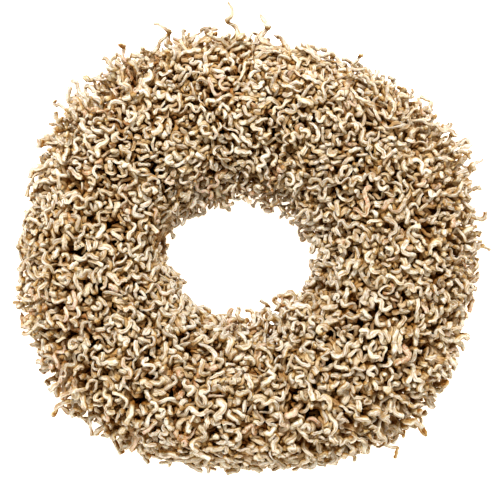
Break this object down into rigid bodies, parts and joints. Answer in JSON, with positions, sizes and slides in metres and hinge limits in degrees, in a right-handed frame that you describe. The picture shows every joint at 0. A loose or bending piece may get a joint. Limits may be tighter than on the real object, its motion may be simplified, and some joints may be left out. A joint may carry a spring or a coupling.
{
  "type": "maize stalk wreath",
  "caption": "Round wreath of dried, curled maize stalks standing densely all round a flat-backed half-round ring form, to hang on a wall or door or lay on a table.",
  "frame": {"origin": "the centre of the wreath's footprint, on the surface that its flat back lies on", "axes": "+Z out of the wreath's front, +Y towards its top as it hangs, +X to the right of someone who looks at its front"},
  "size_m": [0.4588, 0.466, 0.1036],
  "materials": {
    "stalk": "dry, dull plant fibre: cream on its crests, tan on its sides, brown where it is cut and at its edges",
    "form": "pressed straw with a dull dark brown surface"
  },
  "bodies": {
    "root": {"ring_form": "form", "stalk_bunch_01": "stalk", "stalk_bunch_02": "stalk", "stalk_bunch_03": "stalk", "stalk_bunch_04": "stalk", "stalk_bunch_05": "stalk", "stalk_bunch_06": "stalk", "stalk_bunch_07": "stalk", "stalk_bunch_08": "stalk", "stalk_bunch_09": "stalk", "stalk_bunch_10": "stalk", "stalk_bunch_11": "stalk", "stalk_bunch_12": "stalk"}
  },
  "joints": []
}
